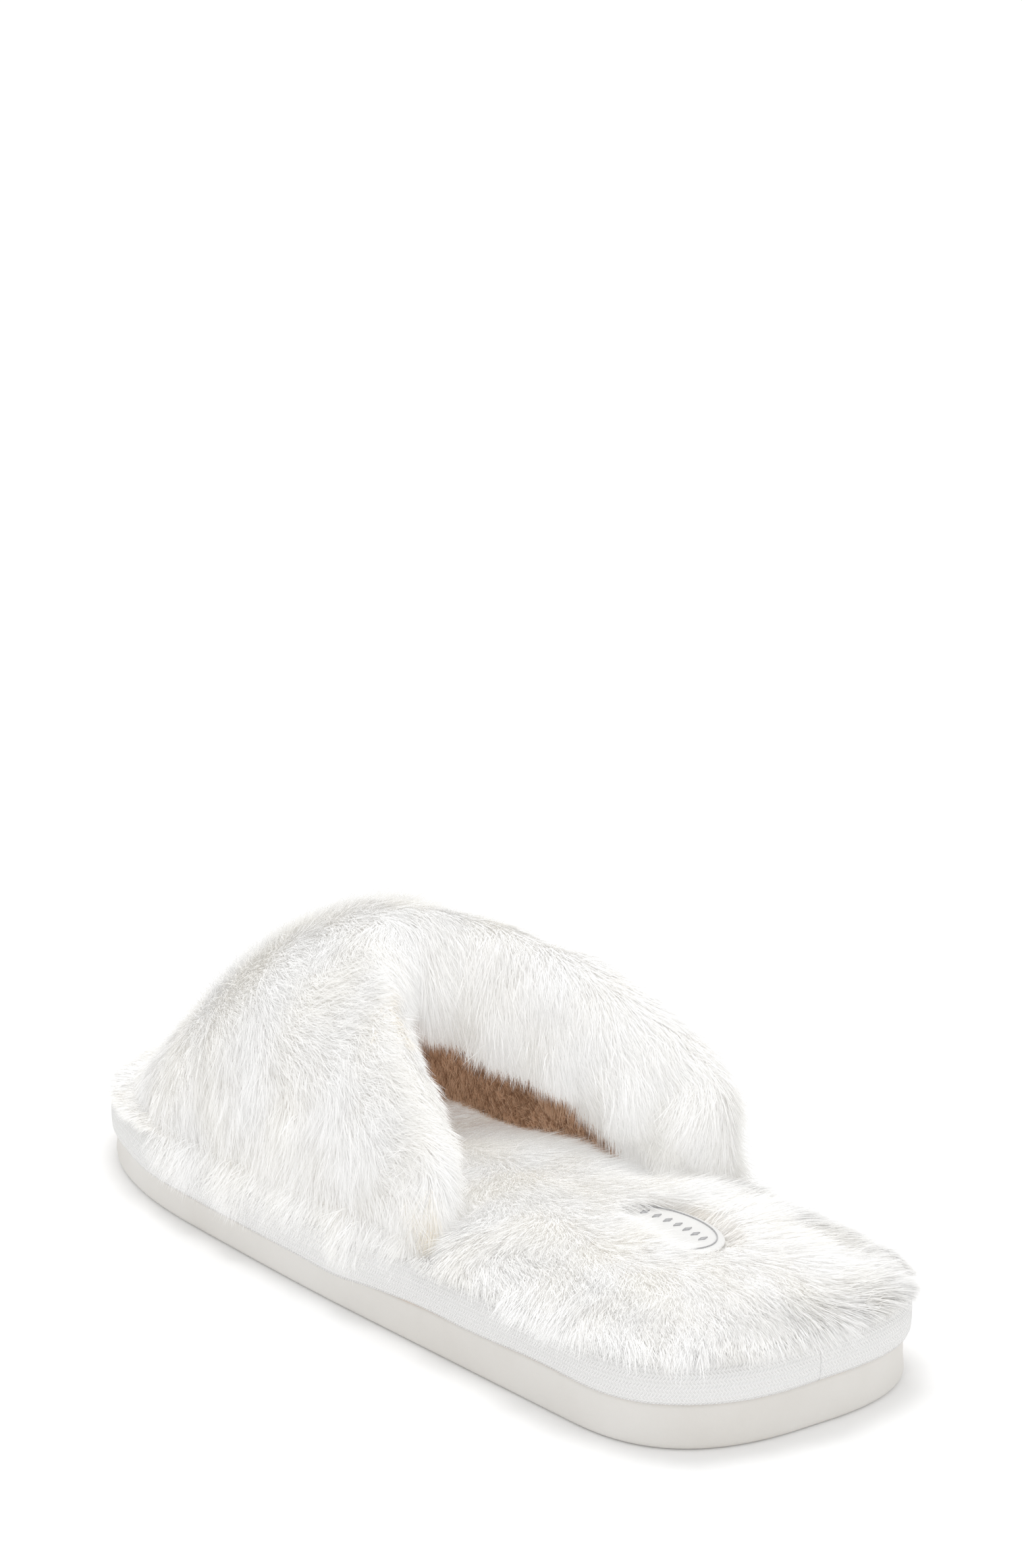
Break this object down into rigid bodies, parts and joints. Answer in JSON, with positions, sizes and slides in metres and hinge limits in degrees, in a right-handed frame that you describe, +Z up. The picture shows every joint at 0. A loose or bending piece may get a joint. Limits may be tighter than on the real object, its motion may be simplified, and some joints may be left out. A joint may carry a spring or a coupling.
{
  "type": "plush house slipper",
  "caption": "Closed-toe, open-back fluffy house slipper for the left foot, with a padded furry collar, plush footbed, woven edge tape and a thin foam outsole",
  "frame": {"origin": "on the ground under the middle of the outsole's length and width", "axes": "+Z up, +Y towards the heel, -Y towards the toe, +X the outer side of the foot"},
  "size_m": [0.0935, 0.2604, 0.0804],
  "materials": {
    "outsole_foam": "matte moulded foam",
    "cement": "dried cement",
    "board": "fibre board",
    "cushion_foam": "open-cell foam",
    "footbed_plush": "long soft pile",
    "woven_tape": "woven",
    "upper_plush": "long soft pile",
    "lining_plush": "short pile",
    "label_cloth": "satin woven",
    "label_thread": "satin thread"
  },
  "bodies": {
    "root": {"outsole": "outsole_foam", "glue_line": "cement", "insole_board": "board", "footbed_foam": "cushion_foam", "footbed_fur": "footbed_plush", "edge_tape": "woven_tape", "upper_fur_outer": "upper_plush", "upper_fur_inner": "upper_plush", "upper_foam_outer": "cushion_foam", "upper_foam_inner": "cushion_foam", "upper_lining_outer": "lining_plush", "upper_lining_inner": "lining_plush", "collar_fur_outer": "upper_plush", "collar_fur_inner": "upper_plush", "collar_padding_outer": "cushion_foam", "collar_padding_inner": "cushion_foam", "heel_label": "label_cloth", "label_mark": "label_thread"}
  },
  "joints": []
}
